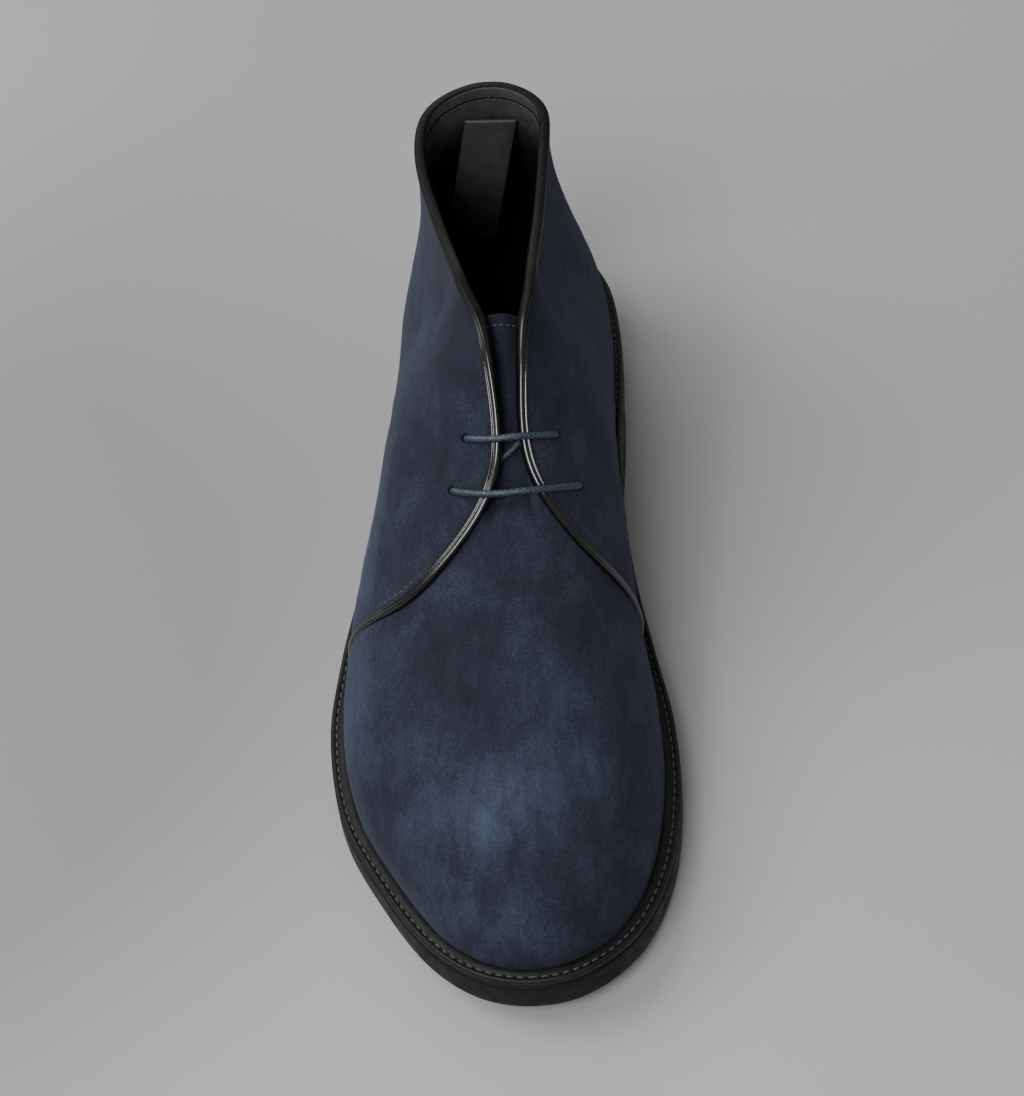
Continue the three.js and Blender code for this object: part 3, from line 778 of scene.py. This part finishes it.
def vamp():
    """The front of the upper, which runs on under the quarters."""
    t = np.arange(VAMP_COLS + 1) / VAMP_COLS
    share = (np.arange(VAMP_ROWS + 1) / VAMP_ROWS)[:, None]
    grids, outer = [], []
    for side in SIDES:
        rising = front_edge(side, np.linspace(0, THROAT_ROW / (len(FRONT_EDGE) - 1), 234))
        end = np.minimum(VAMP_END, np.interp(t, rising[:, 1], rising[:, 0]) + VAMP_LAP)
        end = lerp(end, VAMP_TAB, smooth(0.86, 0.9, t))
        s = share * end[None]
        grids.append(last(side, s, t[None] + 0 * s))
        # Its middle dives under the tongue.
        outer.append(VAMP_WALL - 5.4 * smooth(6.15, 6.66, s) * smooth(0.8, 0.88, t)[None])
    points, faces, maps = weld(grids, [True, False])
    lift = np.zeros(len(points))
    free = np.zeros(len(points))
    for ids, out in zip(maps, outer):
        lift[ids] = out
        free[ids] = 0.5 * smooth(0.6, 0.85, t)[None]
        free[ids[-1]] = 0
    points = relax(points, faces, free, 60)
    normals = vertex_normals(points, faces)
    shape = lift + bumps(points, 19, 0.4) + bumps(points, 7, 0.12) + folds(points, VAMP_FOLDS)
    lined("vamp", shell(points, faces, normals, shape, np.minimum(lift - 0.7, 0)), "upper")


vamp()

# ---- bound edge ------------------------------------------------------------------------------


def bound_path():
    """The quarters' free edge, from the lateral welt over the collar to the medial welt: the rows of
    its points, and the last's normals there."""
    foot = 3  # columns that the welt covers
    ids, ups = [], []
    for side, grid in zip(SIDES, maps):
        front = front_edge(side, QUARTER_V[foot:])
        top = lerp(front_edge(side, 1.0)[0], LAST_STATION, QUARTER_U[1:])
        here = np.concatenate([grid[0, foot:], grid[1:, -1]])
        up = np.concatenate([last_normal(side, front[:, 0], front[:, 1]), last_normal(side, top, 1)])
        ids.append(here if side == "lateral" else here[::-1][1:])
        ups.append(up if side == "lateral" else up[::-1][1:])
    ids, ups = np.concatenate(ids), np.concatenate(ups)
    keep = np.concatenate([[True], np.linalg.norm(np.diff(base[ids], axis=0), axis=1) > 0.02])
    return ids[keep], unit(spread(ups[keep], 10))


edge_ids, edge_normals = bound_path()
edge_path = spread(base[edge_ids], 8)
edge_tangent = unit(spread(np.gradient(edge_path, axis=0), 6))
edge_inward = unit(np.cross(edge_tangent, edge_normals))
if edge_inward[len(edge_path) // 2, 2] > 0:  # at the collar's back, inward is down
    edge_inward = -edge_inward
edge_out = spread(offsets[edge_ids, :1], 6)
edge_in = spread(offsets[edge_ids, 1:], 6)


def on_tree(tree, points):
    """Points snapped to a surface, with the surface's normals there."""
    placed, ups = [], []
    for point in points:
        spot, normal, _, _ = tree.find_nearest(Vector(point))
        placed.append(np.array(spot))
        ups.append(np.array(normal))
    return np.array(placed), spread(np.array(ups), 3)


def binding():
    """Soft leather folded over the free edge: its section, run along the edge."""
    on_skin = 0.4  # from this far in the section lies on the skin
    loops = []
    for profile, tree, skin, turn in (
        (BINDING_OUT, quarter_tree, edge_out, 1), (BINDING_IN, inside_tree, edge_in, -1),
    ):
        for away, height in profile:
            line = edge_path + edge_inward * away + edge_normals * skin
            if away >= on_skin:
                line, ups = on_tree(tree, line)
                line = spread(line, 8) + unit(spread(ups, 14)) * height * turn
            else:
                line = line + edge_normals * height
            loops.append(line)
    points, faces = loft(list(np.stack(loops, 1)), closed=False, ends=True)
    piece("binding", points, faces, [BINDING])


binding()


def seam(name, rows, away, skin, material, **size):
    """Stitches on a skin along rows of the bound edge, some way in from it."""
    tree, offset = skin
    line = edge_path[rows] + edge_inward[rows] * away + edge_normals[rows] * offset[rows]
    spots, ups = on_tree(tree, line)
    stitches(name, spots, ups, material, **size)


def seams():
    outer_skin, inner_skin = (quarter_tree, edge_out), (inside_tree, edge_in)
    whole, lateral_corner = slice(None), slice(18, 30)
    seam("binding_stitches", whole, 3.3, outer_skin, THREAD,
         slot="lining", pitch=2.3, long=1.5, thick=0.42, lift=0.05)
    seam("lining_stitches", whole, 5.2, inner_skin, WELT_THREAD,
         slot="lining", pitch=2.4, long=1.6, thick=0.45, lift=0.1)
    seam("tack_stitches", lateral_corner, 4.6, outer_skin, SEAM_THREAD,
         slot="suede", pitch=2.6, long=1.5, thick=0.4, lift=0.05)
    back = last("medial", LAST_STATION, np.linspace(0.9, 0.975, 12))
    spots, ups = on_tree(inside_tree, back)
    stitches("lining_back_stitches", spots, ups, WELT_THREAD,
             slot="lining", pitch=1.6, long=1.1, thick=0.4, lift=0.1)


seams()

# ---- tongue ----------------------------------------------------------------------------------


def tongue_point(s, w):
    """The tongue's middle line at w 0 and its edges at -1 and 1, past SHAFT straight on."""
    def on_last(w):
        t = lerp(1, TONGUE_EDGE, np.abs(w))
        s_in = np.minimum(s, SHAFT)
        return np.where((w < 0)[..., None], last("lateral", s_in, t), last("medial", s_in, t))

    beside = on_last(w - TONGUE_SOFTEN) + on_last(w + TONGUE_SOFTEN)
    point = 0.5 * on_last(w) + 0.25 * beside
    return point + (RIDGE[SHAFT] - RIDGE[SHAFT - 1]) * np.maximum(s - SHAFT, 0)[..., None]


def tongue():
    """Its end is straight across, with rounded corners and a row of stitches."""
    w = np.linspace(-1, 1, 71)
    end = 8.14 + 0.75 * w * w / (1 + 2 * w * w) - 0.12 * np.abs(w) ** 8
    s = lerp(TONGUE_FROM, end[None], np.linspace(0, 1, 71)[:, None])
    grid = tongue_point(s, w[None] + 0 * s)
    points, faces, (ids,) = weld([grid], [True])
    for edge in (ids[0], ids[-1]):
        points[edge] = spread(points[edge], 200)
    free = np.full(len(points), 0.5)
    for edge in (ids[0], ids[-1], ids[:, 0], ids[:, -1]):
        free[edge] = 0
    points = relax(points, faces, free, 200)
    normals = vertex_normals(points, faces)
    shape = TONGUE_TOP + bumps(points, 14, 0.3) + bumps(points, 5, 0.1)
    underside = np.full(len(points), TONGUE_TOP - TONGUE_WALL)
    lined("tongue_suede", shell(points, faces, normals, shape, underside), "tongue")
    outer = points + normals * shape[:, None]
    row = ids[-5, 8:-8]
    stitches("tongue_stitches", outer[row], normals[row], SEAM_THREAD,
             slot="suede", pitch=2.2, long=1.3, thick=0.4, lift=0.12)


tongue()

# ---- lace ------------------------------------------------------------------------------------


def braid(path, up, radius):
    """A round braided cord along a path: four ribs wind each way round it."""
    step, twist, ribs_each_way = 0.3, 0.27, 4
    path, _ = resample(path, step)
    path = spread(path, 6)
    tangent, side, up = frames(path, np.tile(up, (len(path), 1)))
    angle = np.linspace(0, 2 * np.pi, 20, endpoint=False)
    loops = []
    for k in range(len(path)):
        here, there = ribs_each_way * (angle + twist * k), ribs_each_way * (angle - twist * k)
        ribs = np.maximum(np.sin(here), np.sin(there))
        r = (radius * (0.95 + 0.06 * ribs))[:, None]
        loops.append(path[k] + r * (np.cos(angle)[:, None] * side[k] + np.sin(angle)[:, None] * up[k]))
    return loft(loops, closed=False, ends=True)


def over_instep(lateral, medial, offset, bow=0.0, margin=0.0):
    """A line from a lateral hole to a medial one, bowed forward, short of both by a share margin."""
    points = []
    for f in np.linspace(margin, 1 - margin, 25):
        half = abs(2 * f - 1)
        s = lerp(lateral[0], medial[0], f) - bow * (1 - half * half)
        side, hole = ("lateral", lateral) if f < 0.5 else ("medial", medial)
        points.append(off_last(side, s, lerp(1, hole[1], half), offset))
    return np.array(points)


def lace():
    """A crossing over each pair of holes with its legs, and the hidden diagonal."""
    paths = []
    for row in HOLES:
        legs = [
            np.array([off_last(side, *row[side], z) for z in (LACE_IN, 0, QUARTER_WALL)])
            for side in SIDES
        ]
        above = row["over"] + LACE / 2 + 0.5
        over = over_instep(row["lateral"], row["medial"], above, row["bow"], 0.045)
        paths.append(np.vstack([legs[0], over, legs[1][::-1]]))
    low, high = HOLES
    paths.append(over_instep(low["lateral"], high["medial"], LACE_IN))
    made, faces, start = [], [], 0
    for path in paths:
        points, quads = braid(path, np.array([0.02, -0.6, 0.8]), LACE / 2)
        made.append(points)
        faces += [tuple(k + start for k in face) for face in quads]
        start += len(points)
    piece("lace_cord", np.concatenate(made), faces, [CORD], ["lace"])


lace()

# ---- pull tab --------------------------------------------------------------------------------


def pull_tab():
    """A flat strap inside the back of the collar, which leans to the outer side as it goes down."""
    top = last("medial", LAST_STATION, 0.88) - np.array([0, 3.6, 0])
    half, thick, length, leans = 8.6, 0.85, 46, 10
    loops = []
    for down in 1 - np.arange(28) / 27:
        middle = top + np.array([-leans * down, -3 * down - 4 * down * down, -length * down])
        ring = []
        for a in np.linspace(0, 2 * np.pi, 28, endpoint=False):
            x = half * np.sign(np.cos(a)) * abs(np.cos(a)) ** 0.35
            ring.append(middle + np.array([x, thick * np.sin(a) - 0.004 * x * x, -0.04 * x]))
        loops.append(np.array(ring))
    end = loops[-1]
    middle = end.mean(0)
    for shrink, lift in ((0.86, 0.5), (0.5, 0.85), (0.15, 0.95)):
        ring = end.copy()
        ring[:, 1] = middle[1] + (end[:, 1] - middle[1]) * shrink
        ring[:, 2] += lift
        loops.append(ring)
    points, faces = loft(loops, closed=False, ends=True)
    piece("pull_strap", points, faces, [TAB], ["pull_tab"])


pull_tab()

# ---- sole ------------------------------------------------------------------------------------


def rim_loop(from_station, margins, height, steps):
    """One ring round the sole: lateral side from the front to the heel, then medial back."""
    s = np.linspace(from_station, LAST_STATION, steps + 1)
    rings = []
    for side in SIDES:
        plan = inset(side, s, margins(side, s))
        ring = np.concatenate([plan, height(plan[:, 1])[:, None]], 1)
        rings.append(ring if side == "lateral" else ring[::-1])
    if from_station == 0:
        return np.vstack([rings[0], rings[1][1:-1]])
    return np.vstack([rings[0], rings[1][1:]])


def all_round(margin):
    """A margin that is the same all round."""
    return lambda side, s: margin + 0 * s


def slab(name, profile, from_station, steps):
    """A rubber solid from rings given as (margin, height of y), capped by strips from side to side."""
    loops = [
        rim_loop(from_station, all_round(margin), height, steps) for margin, height in profile
    ]
    points, faces = loft(loops, closed=False)
    count, last_ring = len(loops[0]), (len(loops) - 1) * len(loops[0])
    for ring, turned in ((0, True), (last_ring, False)):
        for k in range(steps):
            a, b = k, k + 1
            c, d = (count - b) % count, (count - a) % count
            if from_station:
                c, d = count - 1 - b, count - 1 - a
            face = [v for j, v in enumerate((a, b, c, d)) if v not in (a, b, c, d)[:j]]
            if len(face) > 2:
                face = [v + ring for v in face]
                faces.append(tuple(face[::-1] if turned else face))
    piece(name + "_rubber", points, faces, [RUBBER], [name])


def flat(z):
    """A height that is the same at every y, as a heel's layers have."""
    return lambda y: z + 0 * y


def outsole():
    """Rounded at its bottom edge, and closely at its top."""
    bottom, top = sole_bottom, sole_top
    profile = [
        (3.2, bottom), (1.5, lambda y: bottom(y) + 0.15), (0.6, lambda y: bottom(y) + 0.7),
        (0.12, lambda y: bottom(y) + 1.7), (0, lambda y: bottom(y) + 3), (0, lambda y: top(y) - 1.9),
        (0.1, lambda y: top(y) - 0.9), (0.45, lambda y: top(y) - 0.25), (1.2, top),
    ]
    slab("outsole", profile, 0, 200)


def block(name, low, high):
    """A layer of the heel between two heights."""
    profile = [
        (HEEL_INSET + 2.2, flat(low)), (HEEL_INSET + 0.7, flat(low + 0.12)),
        (HEEL_INSET + 0.15, flat(low + 0.6)), (HEEL_INSET, flat(low + 1.3)),
        (HEEL_INSET, flat(high - 0.9)), (HEEL_INSET + 0.2, flat(high - 0.3)),
        (HEEL_INSET + 1.0, flat(high)),
    ]
    slab(name, profile, BREAST_STATION, 90)


outsole()
block("heel", HEEL_LIFT + 0.12, HEEL_HEIGHT - 0.1)
block("heel_lift", 0, HEEL_LIFT)


def lean(side, s):
    """How far the upper swells out over the welt's thickness."""
    height = top_point(side, s)[..., 2] - sole_top(outline(side, s)[..., 1])
    return section(side, s) * (WELT + GAP) / (section("rise", s) * height)


def welt():
    """A strip round the upper's foot with a stitch groove. Rows: margin, height above the sole."""
    def under(side, s):
        return welt_shows(s) + 1.2

    def at_upper(side, s):
        return welt_shows(s) - lean(side, s) + 0.6

    rows = [
        (under, 0.1), (all_round(0.9), 0.1), (all_round(0.3), 0.5), (all_round(0.15), 1.3),
        (all_round(0.2), 2.3), (all_round(0.55), 2.85), (all_round(1.1), 3.05),
        (all_round(1.6), 2.95), (all_round(2.0), 2.6), (all_round(2.6), 2.5),
        (all_round(3.1), 2.75), (all_round(3.5), 3.0), (at_upper, 3.0), (under, 2.4),
    ]
    loops = [
        rim_loop(0, margin, lambda y, z=z: sole_top(y) + GAP + z, 300) for margin, z in rows
    ]
    points, faces = loft(loops)
    piece("welt_strip", points, faces, [WELT_LEATHER], ["welt"])
    groove = rim_loop(0, all_round(2.3), lambda y: sole_top(y) + GAP + 2.62, 300)
    up = np.tile([0.0, 0.0, 1.0], (len(groove), 1))
    stitches("welt_stitches", groove, up, WELT_THREAD,
             slot="welt", pitch=3.3, long=2.5, thick=0.85, lift=0.12)


welt()
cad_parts["insole"].data.materials.clear()
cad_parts["insole"].data.materials.append(LINING)

# ---- stage -----------------------------------------------------------------------------------

# In metres, and roll in degrees.
VIEW = {"at": (0.0641, -0.6156, 0.7894), "aim": (0.0048, -0.0068, 0.05), "roll": -6.64}
LENS = 98


def look(thing, at, aim, roll):
    """Points a camera or a lamp at a place, rolled about its own axis."""
    forward = (Vector(aim) - Vector(at)).normalized()
    right = forward.cross(Vector((0, 0, 1))).normalized()
    up = right.cross(forward)
    turn = math.radians(roll)
    across = right * math.cos(turn) + up * math.sin(turn)
    upright = up * math.cos(turn) - right * math.sin(turn)
    rotation = Matrix((across, upright, -forward)).transposed().to_4x4()
    thing.matrix_world = Matrix.Translation(at) @ rotation


camera = bpy.data.objects.new("camera", bpy.data.cameras.new("camera"))
bpy.context.scene.collection.objects.link(camera)
camera.data.lens = LENS
look(camera, **VIEW)
bpy.context.scene.camera = camera


def area(name, at, aim, size, power):
    """A lamp of a size in metres and a power in watts."""
    lamp = bpy.data.lights.new(name, "AREA")
    lamp.shape = "RECTANGLE"
    lamp.size, lamp.size_y = size
    lamp.energy = power
    made = bpy.data.objects.new(name, lamp)
    bpy.context.scene.collection.objects.link(made)
    look(made, at, aim, 0)


area("key", (-0.95, 0.1, 1.3), (0, 0, 0), (0.9, 0.9), 15)
area("back", (-0.4, 1.3, 1.1), (0, 0, 0.05), (1.2, 0.5), 5)
area("over", (-0.35, -0.95, 1.25), (0, -0.03, 0.03), (0.8, 0.5), 16)

world = bpy.data.worlds.new("studio")
world.use_nodes = True
background = world.node_tree.nodes["Background"]
background.inputs["Color"].default_value = (0.97, 0.97, 1.0, 1)
background.inputs["Strength"].default_value = 0.3
bpy.context.scene.world = world

mesh = bpy.data.meshes.new("floor")
mesh.from_pydata([(-6, -6, 0), (6, -6, 0), (6, 6, 0), (-6, 6, 0)], [], [(0, 1, 2, 3)])
mesh.materials.append(paper())
floor = bpy.data.objects.new("floor", mesh)
bpy.context.scene.collection.objects.link(floor)
